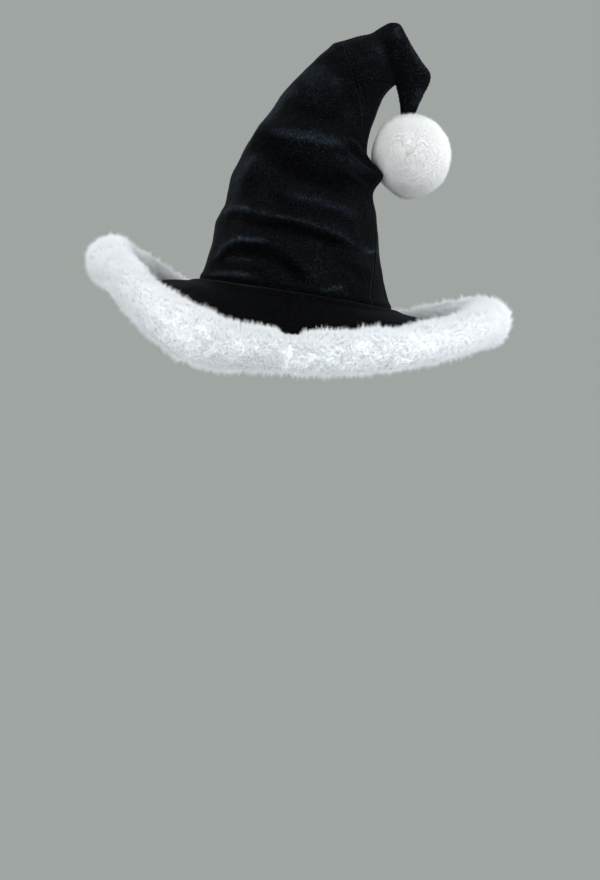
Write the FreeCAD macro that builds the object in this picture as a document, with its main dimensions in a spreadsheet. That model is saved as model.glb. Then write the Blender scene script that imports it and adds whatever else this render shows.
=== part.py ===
"""A soft velvet party hat: a tall cone that bends over at the top, a drooping brim edged with a thick
faux-fur roll, and a fur pompom tied to the end of the tip.

Frame, in millimetres: the origin is the centre of the head opening, +Z goes up through the crown,
+X is the side that the tip falls to, and -Y is the front. The crown is a cut cone of cloth. It folds over
at a crest, beyond which the tip hangs, and the pompom hangs from the end of the tip on a thread.
"""

import FreeCAD, Part
import Sketcher

import math
import os

Vector = FreeCAD.Vector

# ---------------------------------------------------------------- driving dimensions, in mm and degrees
DIMENSIONS = {
    # head opening and its band
    "head_radius": 88.0,
    "sweatband_wall": 1.2,
    "sweatband_height": 14.0,
    # cloth layers
    "lining_wall": 0.6,
    "interlining_wall": 1.2,
    "velvet_wall": 1.6,
    "layer_gap": 0.3,
    "joint_gap": 0.4,
    # the cone of the crown, from the top of the sweatband to the point where its sides would meet
    "cone_length": 345.0,
    "seam_angle": -33.0,
    # brim, measured along its slope from the foot of the crown
    "brim_width": 103.0,
    "stiffener_wall": 2.0,
    "stiffener_inset": 5.0,
    "wire_diameter": 1.8,
    "wire_inset": 2.5,
    # slope of the brim: its mean, its saddle, and its front-to-back and side-to-side differences
    "slope_mean": -15.0,
    "slope_saddle": 19.0,
    "slope_front": 14.0,
    "slope_side": 3.0,
    # fur roll round the brim's edge
    "roll_half_width": 26.0,
    "roll_half_height": 24.0,
    "roll_overhang": 18.0,
    "trim_cover": 32.0,
    "knit_wall": 1.0,
    # pompom and its tie
    "pompom_radius": 38.0,
    "pompom_core_radius": 24.0,
    "knot_radius": 1.8,
    "tie_diameter": 2.0,
    "tie_clearance": 0.3,
    # from the knot's centre to the top of the ball
    "pompom_neck": 5.0,
    "pompom_lean": 15.0,
    # sewing thread
    "thread_diameter": 0.7,
    "stitch_length": 3.2,
    "stitch_pitch": 6.0,
    "seam_offset": 3.5,
}

# The crown's cross-sections from the sweatband to the tip's end. Each is an ellipse across the crown.
# share: how far up the cone its girth is taken; tilt: how far its plane leans towards +X; spread: its
# half width over the radius of the round cone, so above 1 the cloth is flattened; step and heading: how
# far it is from the section below, as a share of the cone's length, and in which direction from +Z;
# follows: whether that move is made from centre to centre, or between the corners on the bend's inside.
SECTIONS = [
    {"name": "low", "share": 0.075, "tilt": 0.0, "spread": 0.985, "step": 0.0754, "heading": -15.6,
     "follows": "centre"},
    {"name": "middle", "share": 0.191, "tilt": 0.0, "spread": 1.0, "step": 0.116, "heading": -2.0,
     "follows": "centre"},
    {"name": "waist", "share": 0.3075, "tilt": 0.0, "spread": 1.02, "step": 0.1164, "heading": -5.1,
     "follows": "centre"},
    {"name": "shoulder", "share": 0.444, "tilt": 7.0, "spread": 1.02, "step": 0.1367, "heading": 4.9,
     "follows": "centre"},
    {"name": "bend", "share": 0.523, "tilt": 15.7, "spread": 1.03, "step": 0.0789, "heading": 20.4,
     "follows": "centre"},
    {"name": "neck", "share": 0.589, "tilt": 28.7, "spread": 1.02, "step": 0.094, "heading": 26.6,
     "follows": "centre"},
    {"name": "throat", "share": 0.658, "tilt": 38.8, "spread": 1.02, "step": 0.0562, "heading": 15.0,
     "follows": "corner"},
    {"name": "ridge", "share": 0.712, "tilt": 63.9, "spread": 1.09, "step": 0.0145, "heading": 45.8,
     "follows": "corner"},
    {"name": "crest", "share": 0.74, "tilt": 80.2, "spread": 1.27, "step": 0.0078, "heading": 68.0,
     "follows": "corner"},
    {"name": "flap", "share": 0.799, "tilt": 116.2, "spread": 1.0, "step": 0.0072, "heading": 126.9,
     "follows": "corner"},
    {"name": "elbow", "share": 0.837, "tilt": 150.8, "spread": 1.11, "step": 0.0104, "heading": 146.3,
     "follows": "corner"},
    {"name": "drop", "share": 0.8745, "tilt": 169.7, "spread": 0.95, "step": 0.0209, "heading": 168.0,
     "follows": "corner"},
    {"name": "tail", "share": 0.902, "tilt": 173.0, "spread": 0.9, "step": 0.0258, "heading": 163.6,
     "follows": "corner"},
    {"name": "end", "share": 0.925, "tilt": 176.0, "spread": 1.0, "step": 0.022, "heading": 168.7,
     "follows": "corner"},
]
SECTION_VALUES = ("share", "tilt", "spread", "step", "heading")

RING_STATIONS = 24
ROLL_SIDES = 20

doc = FreeCAD.newDocument("PartyHat")
sheet = doc.addObject("Spreadsheet::Sheet", "Sizes")


def fill_sheet():
    """One row per driving dimension: its name, its value and the alias that the model reads."""
    rows = dict(DIMENSIONS)
    for section in SECTIONS:
        for key in SECTION_VALUES:
            rows[f"{section['name']}_{key}"] = section[key]
    for row, (alias, value) in enumerate(rows.items(), start=1):
        sheet.set(f"A{row}", alias)
        sheet.set(f"B{row}", str(value))
        sheet.setAlias(f"B{row}", alias)
    doc.recompute()


def size(alias):
    """A driving dimension, as the sheet holds it now."""
    return float(getattr(sheet, alias))


fill_sheet()

# ---------------------------------------------------------------- sizes that follow from the driving ones
GAP = size("layer_gap")
# Each crown layer's outer face lies this far inside the velvet's outer face.
INTERLINING_INSET = size("velvet_wall") + GAP
LINING_INSET = INTERLINING_INSET + size("interlining_wall") + GAP
BAND_INSET = LINING_INSET + size("lining_wall") + GAP
FOOT_RADIUS = size("head_radius") + size("sweatband_wall") + BAND_INSET
# Depths of the brim's layers below its top face.
STIFFENER_TOP = size("velvet_wall") + GAP
STIFFENER_BOTTOM = STIFFENER_TOP + size("stiffener_wall")
UNDERSIDE_TOP = STIFFENER_BOTTOM + GAP
BRIM_BOTTOM = UNDERSIDE_TOP + size("velvet_wall")
BRIM_MIDDLE = BRIM_BOTTOM / 2
# The fur roll's centre, measured along the brim's slope.
ROLL_CENTRE = size("brim_width") + size("roll_overhang") - size("roll_half_width")


# ---------------------------------------------------------------- the crown's cross-sections
def unit(angle):
    """The unit vector in the XZ plane that leans this many degrees from +Z towards +X."""
    a = math.radians(angle)
    return Vector(math.sin(a), 0, math.cos(a))


class Section:
    """One ellipse across the crown: its centre, plane and half axes."""

    def __init__(self, name, centre, tilt, half_width, half_depth):
        self.name = name
        self.centre = centre
        self.along = unit(tilt)
        self.across = unit(tilt + 90)
        self.half_width = half_width
        self.half_depth = half_depth

    def moved(self, distance):
        """The same section, moved along the crown."""
        copy = Section(self.name, self.centre + self.along * distance, 0, self.half_width, self.half_depth)
        copy.along = self.along
        copy.across = self.across
        return copy

    def point(self, angle, inset=0.0):
        """The point at this angle round the section, that far inside the outer face."""
        a = math.radians(angle)
        width = (self.half_width - inset) * math.cos(a)
        depth = (self.half_depth - inset) * math.sin(a)
        return self.centre + self.across * width + Vector(0, depth, 0)

    def normal(self, angle):
        """The outward direction of the outer face at this angle, in the section's plane."""
        a = math.radians(angle)
        across = self.across * (self.half_depth * math.cos(a))
        return (across + Vector(0, self.half_width * math.sin(a), 0)).normalize()

    def arc(self, start, stop, inset):
        """The stretch of the ellipse between two angles, that far inside the outer face."""
        middle = (start + stop) / 2
        quarter = (stop - start) / 4
        points = [self.point(middle + k * quarter / 2, inset) for k in range(-4, 5)]
        curve = Part.BSplineCurve()
        curve.interpolate(Points=points)
        return curve.toShape()


def crown_sections():
    """The crown's sections in order. A flattened section keeps the girth of the round cone."""
    band_top = Vector(0, 0, size("sweatband_height") + GAP)
    found = [
        Section("foot", Vector(0, 0, 0), 0, FOOT_RADIUS, FOOT_RADIUS),
        Section("band", band_top, 0, FOOT_RADIUS, FOOT_RADIUS),
    ]
    for row in SECTIONS:
        value = {key: size(f"{row['name']}_{key}") for key in SECTION_VALUES}
        radius = FOOT_RADIUS * (1 - value["share"])
        half_width = radius * value["spread"]
        half_depth = math.sqrt(2 * radius**2 - half_width**2)
        move = unit(value["heading"]) * (value["step"] * size("cone_length"))
        centre = found[-1].centre + move
        if row["follows"] == "corner":
            corner = found[-1].point(0) + move
            centre = corner - unit(value["tilt"] + 90) * half_width
        found.append(Section(row["name"], centre, value["tilt"], half_width, half_depth))
    return found


CROWN = crown_sections()
INDEX = {section.name: k for k, section in enumerate(CROWN)}


def stretch(first, last):
    """The sections from one name to another, both included."""
    return CROWN[INDEX[first] : INDEX[last] + 1]


STANDING = stretch("foot", "crest")
TIP = stretch("crest", "end")
TIP[0] = TIP[0].moved(size("joint_gap"))


def add_feature(label, shape):
    """A document object that holds a shape worked out from the sheet's values."""
    feature = doc.addObject("Part::Feature", label)
    feature.Label = label
    feature.Shape = shape
    feature.Placement = FreeCAD.Placement()
    return feature


def add_panel(label, sections, inset, wall, front):
    """Half of one layer of the crown, between the two side seams, lofted along the sections."""
    wires = []
    for section in sections:
        seam = math.degrees(size("layer_gap") / (2 * section.half_width))
        start = size("seam_angle") - (180 if front else 0) + seam
        stop = start + 180 - 2 * seam
        outer = section.arc(start, stop, inset)
        inner = section.arc(start, stop, inset + wall)
        edge_a = Part.makeLine(section.point(stop, inset), section.point(stop, inset + wall))
        edge_b = Part.makeLine(section.point(start, inset + wall), section.point(start, inset))
        wires.append(Part.Wire([outer, edge_a, inner, edge_b]))
    return add_feature(label, Part.makeLoft(wires, True, True, False))


def add_crown_layers():
    """The velvet, the interlining and the lining of the crown, a front and a back of each."""
    made = []
    layers = (
        ("velvet", "crest", 0, size("velvet_wall")),
        ("interlining", "throat", INTERLINING_INSET, size("interlining_wall")),
        ("lining", "neck", LINING_INSET, size("lining_wall")),
    )
    for half, front in (("front", True), ("back", False)):
        for name, top, inset, wall in layers:
            made.append(add_panel(f"crown_{half}_{name}", stretch("foot", top), inset, wall, front))
    return made


def add_tip():
    """The hanging tip: two velvet halves, and the rolled end that closes it and takes the pompom's knot."""
    closure = size("velvet_wall")
    made = [
        add_panel("tip_front_velvet", TIP, 0, closure, True),
        add_panel("tip_back_velvet", TIP, 0, closure, False),
    ]
    end = CROWN[-1].moved(-closure)
    inset = closure + GAP
    wires = []
    for section in (end, CROWN[-1]):
        curve = Part.BSplineCurve()
        angles = [45 * k for k in range(8)]
        curve.interpolate(Points=[section.point(a, inset) for a in angles], PeriodicFlag=True)
        wires.append(Part.Wire([curve.toShape()]))
    made.append(add_feature("tip_end_closure", Part.makeLoft(wires, True, False, False)))
    return made


def stitch(middle, direction):
    """One short straight stitch of thread, centred on a point."""
    half = size("stitch_length") / 2
    along = Vector(direction).normalize()
    return Part.makeCylinder(size("thread_diameter") / 2, 2 * half, middle - along * half, along)


def add_seam_stitches(label, sections):
    """Rows of short topstitches beside both side seams, lying on the velvet."""
    lift = size("thread_diameter") / 2 + 2 * GAP
    solids = []
    for below, above in zip(sections, sections[1:]):
        for seam in (size("seam_angle"), size("seam_angle") + 180):
            angle = seam + math.degrees(size("seam_offset") / below.half_width)
            start = below.point(angle) + below.normal(angle) * lift
            run = above.point(angle) + above.normal(angle) * lift - start
            count = max(1, int(run.Length / size("stitch_pitch")))
            for k in range(count):
                solids.append(stitch(start + run * ((k + 0.5) / count), run))
    return add_feature(label, Part.makeCompound(solids))


def add_ring_stitches(label, radius, height):
    """A ring of short stitches round the opening."""
    count = int(2 * math.pi * radius / size("stitch_pitch"))
    solids = []
    for k in range(count):
        a = 2 * math.pi * k / count
        centre = Vector(radius * math.cos(a), radius * math.sin(a), height)
        solids.append(stitch(centre, Vector(-math.sin(a), math.cos(a), 0)))
    return add_feature(label, Part.makeCompound(solids))


# ---------------------------------------------------------------- the brim
def brim_slope(angle):
    """How far the brim slopes up at this angle round the opening, in degrees."""
    a = math.radians(angle)
    saddle = size("slope_saddle") * math.cos(2 * a)
    front = size("slope_front") * math.sin(a)
    side = size("slope_side") * math.cos(a)
    return size("slope_mean") + saddle + front + side


def brim_point(angle, out, up):
    """The point at this angle, so far out along the brim's slope and so far above its top face."""
    a = math.radians(angle)
    slope = math.radians(brim_slope(angle))
    radius = FOOT_RADIUS + GAP + out * math.cos(slope) - up * math.sin(slope)
    height = out * math.sin(slope) + up * math.cos(slope)
    return Vector(radius * math.cos(a), radius * math.sin(a), height)


def add_ring(label, profile):
    """A closed ring whose cross-section, in (out, up) pairs, follows the brim all the way round."""
    wires = []
    for k in range(RING_STATIONS):
        points = [brim_point(360 * k / RING_STATIONS, out, up) for out, up in profile]
        wires.append(Part.makePolygon(points + points[:1]))
    return add_feature(label, Part.makeLoft(wires, True, False, True))


def layer(start, stop, top, bottom):
    """The cross-section of a flat layer of the brim, between two depths below its top face."""
    return [(start, -top), (start, -bottom), (stop, -bottom), (stop, -top)]


def add_brim():
    """The brim's three cloth layers and the wire that lies in its edge."""
    width = size("brim_width")
    wire_out = width - size("wire_inset")
    stiffener_edge = width - size("stiffener_inset")
    wire_radius = size("wire_diameter") / 2
    made = [
        add_ring("brim_top_velvet", layer(0, width, 0, size("velvet_wall"))),
        add_ring("brim_stiffener", layer(0, stiffener_edge, STIFFENER_TOP, STIFFENER_BOTTOM)),
        add_ring("brim_underside_velvet", layer(0, width, UNDERSIDE_TOP, BRIM_BOTTOM)),
    ]
    sides = 8
    octagon = []
    for k in range(sides):
        a = 2 * math.pi * (k + 0.5) / sides
        octagon.append((wire_out + wire_radius * math.cos(a), wire_radius * math.sin(a) - BRIM_MIDDLE))
    made.append(add_ring("brim_edge_wire", octagon))
    return made


def add_fur_trim():
    """The folded knit backing round the brim's edge, and the fur roll that stands on it."""
    width = size("brim_width")
    knit = size("knit_wall")
    mouth = width - size("trim_cover")
    inside = width + GAP
    outside = inside + knit
    backing = [
        (mouth, GAP),
        (inside, GAP),
        (inside, -BRIM_BOTTOM - GAP),
        (mouth, -BRIM_BOTTOM - GAP),
        (mouth, -BRIM_BOTTOM - GAP - knit),
        (outside, -BRIM_BOTTOM - GAP - knit),
        (outside, GAP + knit),
        (mouth, GAP + knit),
    ]
    made = [add_ring("fur_trim_backing", backing)]
    half_slot = BRIM_MIDDLE + 2 * GAP + knit
    first = math.asin(half_slot / size("roll_half_height"))
    pile = []
    for k in range(ROLL_SIDES + 1):
        a = math.pi - first - k * (2 * math.pi - 2 * first) / ROLL_SIDES
        out = ROLL_CENTRE + size("roll_half_width") * math.cos(a)
        pile.append((out, size("roll_half_height") * math.sin(a) - BRIM_MIDDLE))
    slot_end = outside + GAP
    pile += [(slot_end, -half_slot - BRIM_MIDDLE), (slot_end, half_slot - BRIM_MIDDLE)]
    made.append(add_ring("fur_trim_pile", pile))
    return made


def add_trim_stitches():
    """Short hand stitches that hold the folded backing's two edges to the brim, above and below."""
    radius = size("thread_diameter") / 2
    out = size("brim_width") - size("trim_cover") - radius - GAP
    count = 72
    step = 0.5
    solids = []
    for k in range(count):
        angle = 360 * k / count
        for up in (radius + GAP, -BRIM_BOTTOM - radius - GAP):
            run = brim_point(angle + step, out, up) - brim_point(angle - step, out, up)
            solids.append(stitch(brim_point(angle, out, up), run))
    return add_feature("trim_stitches", Part.makeCompound(solids))


# ---------------------------------------------------------------- turned pieces
def revolved_body(label, outline, placement):
    """A PartDesign body: a closed outline of lines and arcs, turned about its own Z axis.

    outline(sketch) draws in (distance from the axis, height) and adds the constraints that the sheet drives.
    """
    body = doc.addObject("PartDesign::Body", label)
    body.Label = label
    plane = next(f for f in body.Origin.OriginFeatures if f.Role == "XZ_Plane")
    sketch = body.newObject("Sketcher::SketchObject", f"{label}_outline")
    sketch.AttachmentSupport = [(plane, "")]
    sketch.MapMode = "FlatFace"
    outline(sketch)
    doc.recompute()
    turned = body.newObject("PartDesign::Revolution", f"{label}_turned")
    turned.Profile = sketch
    turned.ReferenceAxis = (sketch, ["V_Axis"])
    turned.Angle = 360
    body.Tip = turned
    body.Placement = placement
    doc.recompute()
    return body


def bind(sketch, constraint, name, expression):
    """Adds a constraint, names it and ties it to the sheet."""
    index = sketch.addConstraint(constraint)
    sketch.renameConstraint(index, name)
    sketch.setExpression(f"Constraints.{name}", expression)


def band_outline(sketch):
    """The sweatband's cross-section: a tall rectangle on the opening's plane."""
    inner = size("head_radius")
    outer = inner + size("sweatband_wall")
    top = size("sweatband_height")
    corners = [(inner, 0), (outer, 0), (outer, top), (inner, top)]
    for k, (x, y) in enumerate(corners):
        nx, ny = corners[(k + 1) % 4]
        sketch.addGeometry(Part.LineSegment(Vector(x, y, 0), Vector(nx, ny, 0)))
    for k in range(4):
        sketch.addConstraint(Sketcher.Constraint("Coincident", k, 2, (k + 1) % 4, 1))
    sketch.addConstraint(Sketcher.Constraint("Horizontal", 0))
    sketch.addConstraint(Sketcher.Constraint("Horizontal", 2))
    sketch.addConstraint(Sketcher.Constraint("Vertical", 1))
    sketch.addConstraint(Sketcher.Constraint("Vertical", 3))
    sketch.addConstraint(Sketcher.Constraint("PointOnObject", 0, 1, -1))
    bind(sketch, Sketcher.Constraint("DistanceX", -1, 1, 0, 1, inner), "inner", "Sizes.head_radius")
    bind(sketch, Sketcher.Constraint("DistanceX", 0, 1, 0, 2, outer - inner), "wall", "Sizes.sweatband_wall")
    bind(sketch, Sketcher.Constraint("DistanceY", 1, 1, 1, 2, top), "height", "Sizes.sweatband_height")


def shell_outline(inner, outer, hole):
    """The cross-section of a hollow ball with a round hole at its top: two arcs joined by two lines.

    Each argument is a (value, expression) pair.
    """

    def draw(sketch):
        centre = Vector(0, 0, 0)
        normal = Vector(0, 0, 1)
        bottom = -math.pi / 2
        arcs = []
        for radius in (outer[0], inner[0]):
            top = math.acos(hole[0] / radius)
            circle = Part.Circle(centre, normal, radius)
            arcs.append(sketch.addGeometry(Part.ArcOfCircle(circle, bottom, top)))
        high = [Vector(hole[0], math.sqrt(r[0] ** 2 - hole[0] ** 2), 0) for r in (outer, inner)]
        low = [Vector(0, -r[0], 0) for r in (outer, inner)]
        neck = sketch.addGeometry(Part.LineSegment(high[0], high[1]))
        floor = sketch.addGeometry(Part.LineSegment(low[1], low[0]))
        for arc in arcs:
            sketch.addConstraint(Sketcher.Constraint("Coincident", arc, 3, -1, 1))
        sketch.addConstraint(Sketcher.Constraint("Coincident", arcs[0], 2, neck, 1))
        sketch.addConstraint(Sketcher.Constraint("Coincident", arcs[1], 2, neck, 2))
        sketch.addConstraint(Sketcher.Constraint("Coincident", arcs[1], 1, floor, 1))
        sketch.addConstraint(Sketcher.Constraint("Coincident", arcs[0], 1, floor, 2))
        sketch.addConstraint(Sketcher.Constraint("Vertical", neck))
        sketch.addConstraint(Sketcher.Constraint("PointOnObject", arcs[0], 1, -2))
        sketch.addConstraint(Sketcher.Constraint("PointOnObject", arcs[1], 1, -2))
        bind(sketch, Sketcher.Constraint("Radius", arcs[0], outer[0]), "outer", outer[1])
        bind(sketch, Sketcher.Constraint("Radius", arcs[1], inner[0]), "inner", inner[1])
        bind(sketch, Sketcher.Constraint("DistanceX", -1, 1, neck, 1, hole[0]), "hole", hole[1])

    return draw


# ---------------------------------------------------------------- the pompom
def add_pompom():
    """The pompom's knot, tie, stuffing, gathered knit and fur, on one line down from the end of the tip."""
    end = CROWN[-1]
    pivot = end.centre + end.along * (size("knot_radius") + size("joint_gap"))
    down = unit(180 - size("pompom_lean"))
    centre = pivot + down * (size("pompom_radius") + size("pompom_neck"))
    turn = FreeCAD.Rotation(Vector(0, 0, 1), down * -1)
    core = size("pompom_core_radius")
    knit = size("knit_wall")
    clearance = size("tie_clearance")
    hole = (size("tie_diameter") / 2 + clearance, "Sizes.tie_diameter / 2 + Sizes.tie_clearance")

    knot = doc.addObject("Part::Sphere", "pompom_knot")
    knot.Label = "pompom_knot"
    knot.setExpression("Radius", "Sizes.knot_radius")
    knot.Placement = FreeCAD.Placement(pivot, FreeCAD.Rotation())

    tie = doc.addObject("Part::Cylinder", "pompom_tie")
    tie.Label = "pompom_tie"
    tie.setExpression("Radius", "Sizes.tie_diameter / 2")
    tie.setExpression(
        "Height",
        "Sizes.pompom_radius + Sizes.pompom_neck - Sizes.knot_radius - Sizes.pompom_core_radius"
        " + Sizes.knit_wall - Sizes.tie_clearance",
    )
    tie.Placement = FreeCAD.Placement(centre + down * (knit - core), turn)

    stuffing = doc.addObject("Part::Sphere", "pompom_stuffing")
    stuffing.Label = "pompom_stuffing"
    stuffing.setExpression(
        "Radius", "Sizes.pompom_core_radius - Sizes.knit_wall - Sizes.layer_gap"
    )
    stuffing.Placement = FreeCAD.Placement(centre, turn)

    place = FreeCAD.Placement(centre, turn)
    knit_ball = revolved_body(
        "pompom_knit",
        shell_outline(
            (core - knit, "Sizes.pompom_core_radius - Sizes.knit_wall"),
            (core, "Sizes.pompom_core_radius"),
            hole,
        ),
        place,
    )
    fur_ball = revolved_body(
        "pompom_fur",
        shell_outline(
            (core + GAP, "Sizes.pompom_core_radius + Sizes.layer_gap"),
            (size("pompom_radius"), "Sizes.pompom_radius"),
            hole,
        ),
        place,
    )
    return [knot, tie, stuffing, knit_ball, fur_ball]


# ---------------------------------------------------------------- build, check and write
def build():
    """Every sub-part, in the order that the hat is made up."""
    thread = size("thread_diameter") / 2 + GAP
    band_middle = size("head_radius") + size("sweatband_wall") / 2
    made = [revolved_body("sweatband", band_outline, FreeCAD.Placement())]
    made.append(add_ring_stitches("sweatband_stitches", band_middle, -thread))
    made += add_crown_layers()
    made += add_tip()
    made.append(add_seam_stitches("crown_seam_stitches", STANDING[1:]))
    made.append(add_seam_stitches("tip_seam_stitches", TIP))
    made += add_brim()
    made += add_fur_trim()
    made.append(add_trim_stitches())
    made += add_pompom()
    return made


def write(made):
    """Checks every object and sub-part, then writes one STEP file per sub-part, named by its Label."""
    doc.recompute()
    failed = [o.Name for o in doc.Objects if {"Invalid", "Error"} & set(o.State)]
    if failed:
        raise RuntimeError(f"these objects failed: {failed}")
    for part in made:
        shape = part.Shape
        if shape.isNull() or not shape.isValid() or shape.Volume <= 0:
            raise RuntimeError(f"{part.Label} has no valid solid")
    os.makedirs("parts", exist_ok=True)
    for part in made:
        part.Shape.exportStep(os.path.join("parts", f"{part.Label}.step"))


write(build())
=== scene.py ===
"""A black velvet party hat with a folded tip, a white fur edge and a fur pompom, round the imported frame."""

import math

import bpy
import numpy as np
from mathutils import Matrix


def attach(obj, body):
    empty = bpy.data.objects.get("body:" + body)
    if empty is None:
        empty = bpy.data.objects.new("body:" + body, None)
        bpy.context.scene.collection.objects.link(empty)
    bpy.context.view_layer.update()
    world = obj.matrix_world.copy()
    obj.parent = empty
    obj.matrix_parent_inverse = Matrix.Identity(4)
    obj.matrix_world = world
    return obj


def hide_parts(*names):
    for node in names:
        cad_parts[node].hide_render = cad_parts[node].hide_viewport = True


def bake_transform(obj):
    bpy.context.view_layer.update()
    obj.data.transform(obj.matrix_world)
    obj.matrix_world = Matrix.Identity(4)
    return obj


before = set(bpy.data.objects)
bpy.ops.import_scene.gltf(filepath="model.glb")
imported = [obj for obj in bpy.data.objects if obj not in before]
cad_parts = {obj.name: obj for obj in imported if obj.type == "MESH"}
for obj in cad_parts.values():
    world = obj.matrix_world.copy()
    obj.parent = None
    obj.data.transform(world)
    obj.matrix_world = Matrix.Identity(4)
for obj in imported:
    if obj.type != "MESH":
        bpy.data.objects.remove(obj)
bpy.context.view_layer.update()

MM = 0.001
BODY_HAT, BODY_TIP, BODY_POMPOM = "hat", "tip", "pompom"

# ---------------------------------------------------------------- camera, lights and studio
VIEW_ROLL = math.radians(9.5)
VIEW_DISTANCE = 2.2
VIEW_AIM = (0.0266, -0.1405)
PICTURE_HEIGHT = 0.88
SENSOR = 36.0


def make_camera():
    """A level camera in front of the hat, rolled by the angle at which the hat is worn."""
    data = bpy.data.cameras.new("camera")
    data.sensor_width = SENSOR
    data.lens = SENSOR * VIEW_DISTANCE / PICTURE_HEIGHT
    data.clip_end = 50
    camera = bpy.data.objects.new("camera", data)
    camera.location = (VIEW_AIM[0], -VIEW_DISTANCE, VIEW_AIM[1])
    camera.rotation_mode = "XYZ"
    camera.rotation_euler = (math.radians(90), -VIEW_ROLL, 0)
    bpy.context.scene.collection.objects.link(camera)
    bpy.context.scene.camera = camera


def make_light(name, place, target, size, power, color):
    """A square soft box at a place, facing a target."""
    data = bpy.data.lights.new(name, "AREA")
    data.size = size
    data.energy = power
    data.color = color
    light = bpy.data.objects.new(name, data)
    light.location = place
    aim = np.array(target, float) - np.array(place, float)
    light.rotation_euler = (
        math.atan2(math.hypot(aim[0], aim[1]), -aim[2]),
        0,
        math.atan2(aim[1], aim[0]) - math.pi / 2,
    )
    bpy.context.scene.collection.objects.link(light)


# ---------------------------------------------------------------- shader expressions
class Shade:
    """One socket's value in a material. Arithmetic on it adds Math nodes."""

    tree = None

    def __init__(self, socket):
        self.socket = socket

    @classmethod
    def node(cls, kind, settings=(), inputs=(), output=0):
        """Adds a node: its settings first, then the values or links of its inputs."""
        made = cls.tree.nodes.new(kind)
        for key, value in dict(settings).items():
            setattr(made, key, value)
        for key, value in dict(inputs).items():
            if isinstance(value, Shade):
                cls.tree.links.new(value.socket, made.inputs[key])
            else:
                made.inputs[key].default_value = value
        return cls(made.outputs[output])

    @classmethod
    def math(cls, operation, *values):
        return cls.node("ShaderNodeMath", {"operation": operation}, dict(enumerate(values)))

    def __add__(self, other):
        return Shade.math("ADD", self, other)

    __radd__ = __add__

    def __mul__(self, other):
        return Shade.math("MULTIPLY", self, other)

    __rmul__ = __mul__

    def __sub__(self, other):
        return Shade.math("SUBTRACT", self, other)

    def __rsub__(self, other):
        return Shade.math("SUBTRACT", other, self)

    def between(self, low, high):
        """0 at low, 1 at high and beyond."""
        inputs = {"Value": self, "From Min": low, "From Max": high, "To Min": 0.0, "To Max": 1.0}
        return Shade.node("ShaderNodeMapRange", {"interpolation_type": "SMOOTHSTEP"}, inputs)


def rgb(r, g, b):
    return (r, g, b, 1.0)


def mix_colour(factor, first, second):
    """The first colour where factor is 0, the second where it is 1."""
    inputs = {0: factor, 6: first, 7: second}
    return Shade.node("ShaderNodeMix", {"data_type": "RGBA"}, inputs, output=2)


def coordinates():
    return Shade.node("ShaderNodeTexCoord", output="Object")


def noise(place, scale, detail=2.0, roughness=0.5):
    inputs = {"Vector": place, "Scale": scale, "Detail": detail, "Roughness": roughness}
    return Shade.node("ShaderNodeTexNoise", inputs=inputs)


def attribute(name):
    return Shade.node("ShaderNodeAttribute", {"attribute_name": name}, output="Fac")


def bump(height, strength, distance):
    inputs = {"Height": height, "Strength": strength, "Distance": distance}
    return Shade.node("ShaderNodeBump", inputs=inputs, output="Normal")


def finish_material(name, build, constants=()):
    """A Principled material. build() gives what changes over the surface; constants are plain numbers."""
    material = bpy.data.materials.new(name)
    material.use_nodes = True
    Shade.tree = material.node_tree
    shader = Shade.tree.nodes["Principled BSDF"]
    for key, value in dict(constants).items():
        shader.inputs[key].default_value = value
    for key, value in build().items():
        if isinstance(value, Shade):
            Shade.tree.links.new(value.socket, shader.inputs[key])
        else:
            shader.inputs[key].default_value = value
    return material


def velvet_build():
    """Black pile with a fine sparkle and random lighter crushed patches, with painted highlights and painted
    shade taken from an attribute.
    """
    place = coordinates()
    patches = noise(place, 30.0, 3.0, 0.6)
    mottle = noise(place, 260.0, 3.0, 0.65)
    flecks = noise(place, 760.0, 2.0, 0.65)
    sparkle = flecks.between(0.5, 0.72)
    # The attribute read here holds painted highlights above 0 and painted shade below 0.
    painted_light_and_tone = attribute("painted_light_and_tone")
    painted_shade = (0.0 - painted_light_and_tone).between(0.0, 1.0)
    painted_highlight = Shade.math("MAXIMUM", painted_light_and_tone, 0.0) * mottle.between(0.12, 0.8)
    crushed = patches.between(0.44, 0.74) * mottle.between(0.38, 0.7) * 0.2 * (1.0 - painted_shade)
    amount = Shade.math("MINIMUM", painted_highlight + crushed, 1.0)
    pile = mix_colour(sparkle, rgb(0.0008, 0.0010, 0.0013), rgb(0.0085, 0.0092, 0.0105))
    # The colour of the painted shade.
    shaded_pile = mix_colour(sparkle, rgb(0.0002, 0.0002, 0.0003), rgb(0.0042, 0.0044, 0.0052))
    pile = mix_colour(painted_shade * 0.85, pile, shaded_pile)
    # The colour of the painted highlights.
    light = mix_colour(sparkle, rgb(0.010, 0.015, 0.021), rgb(0.052, 0.070, 0.090))
    return {
        "Base Color": mix_colour(amount, pile, light),
        "Roughness": 0.78 + 0.2 * mottle,
        "Normal": bump(flecks * 0.4 + mottle * 0.8, 0.5, 0.0010),
    }


def satin_build():
    """Lining satin: a fine diagonal weave with soft gathers."""
    place = coordinates()
    weave = Shade.node(
        "ShaderNodeTexWave",
        {"wave_type": "BANDS", "bands_direction": "DIAGONAL"},
        {"Vector": place, "Scale": 900.0, "Distortion": 0.4},
    )
    cloud = noise(place, 40.0, 3.0)
    return {
        "Base Color": mix_colour(cloud, rgb(0.010, 0.011, 0.014), rgb(0.028, 0.030, 0.037)),
        "Roughness": 0.34 + 0.18 * cloud,
        "Normal": bump(weave + cloud * 2.0, 0.3, 0.0004),
    }


def ribbon_build():
    """Grosgrain: upright ribs from the ribbon's own length coordinate."""
    ribs = Shade.math("SINE", attribute("rib") * (2 * math.pi))
    cloud = noise(coordinates(), 120.0, 2.0)
    return {
        "Base Color": mix_colour(cloud, rgb(0.012, 0.012, 0.014), rgb(0.030, 0.031, 0.034)),
        "Roughness": 0.6 + 0.15 * cloud,
        "Normal": bump(ribs, 0.7, 0.0003),
    }


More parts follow.
